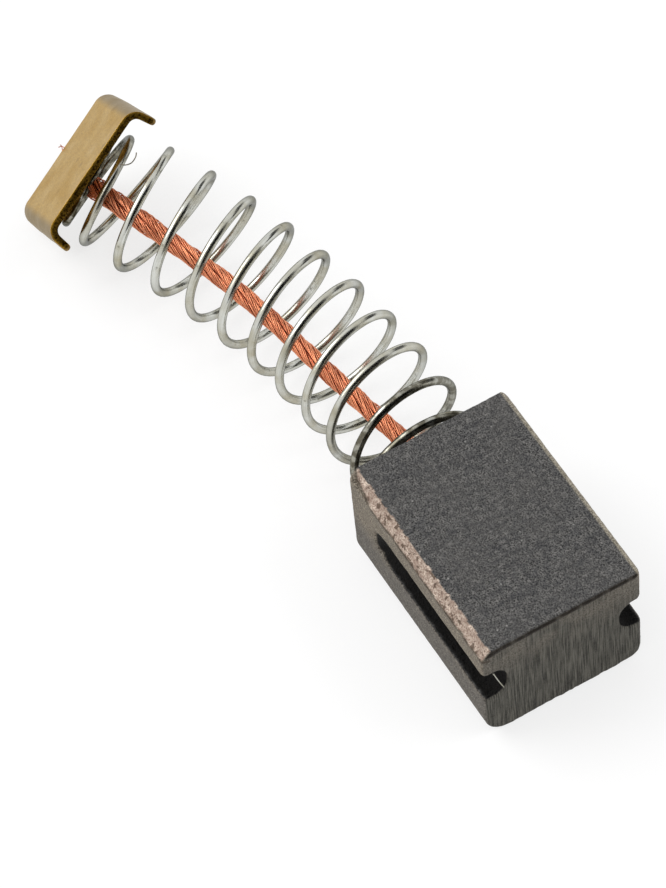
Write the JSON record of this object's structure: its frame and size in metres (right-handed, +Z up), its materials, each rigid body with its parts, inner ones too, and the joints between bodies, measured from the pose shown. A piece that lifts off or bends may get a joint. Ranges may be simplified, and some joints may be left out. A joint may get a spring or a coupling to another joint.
{
  "type": "carbon brush",
  "caption": "Carbon motor brush: grooved carbon block with a compression spring, a stranded copper shunt inside it and a folded brass cap at the spring's end.",
  "frame": {"origin": "centre of the block's lower face", "axes": "+X out of the contact face along the block, +Y across its width, +Z up out of the face that the block lies on"},
  "size_m": [0.0327, 0.0108, 0.0066],
  "materials": {
    "carbon": "matt dark grey carbon graphite, ground, with a rough pinkish chamfer",
    "copper_powder": "tamped copper powder, matt",
    "spring_steel": "zinc-plated spring wire, dulled",
    "copper": "bare stranded copper, lightly tarnished",
    "weld_copper": "fused and darkened copper",
    "brass_strip": "dull rolled brass strip with greyed bends and a dark cut edge"
  },
  "bodies": {
    "brush": {"carbon_block": "carbon", "tamping_plug": "copper_powder", "spring": "spring_steel", "shunt_core": "copper", "shunt_strand_1": "copper", "shunt_strand_2": "copper", "shunt_strand_3": "copper", "shunt_strand_4": "copper", "shunt_strand_5": "copper", "shunt_strand_6": "copper"},
    "cap": {"terminal_cap": "brass_strip", "weld_nugget": "weld_copper"}
  },
  "joints": [
    {"name": "spring_travel", "type": "slide", "parent": "brush", "child": "cap", "axis": [0.976, 0.218, 0], "range_m": [0, 0.012], "stiffness_N_per_m": 200, "deforming": ["spring", "shunt_core", "shunt_strand_1", "shunt_strand_2", "shunt_strand_3", "shunt_strand_4", "shunt_strand_5", "shunt_strand_6"]}
  ]
}
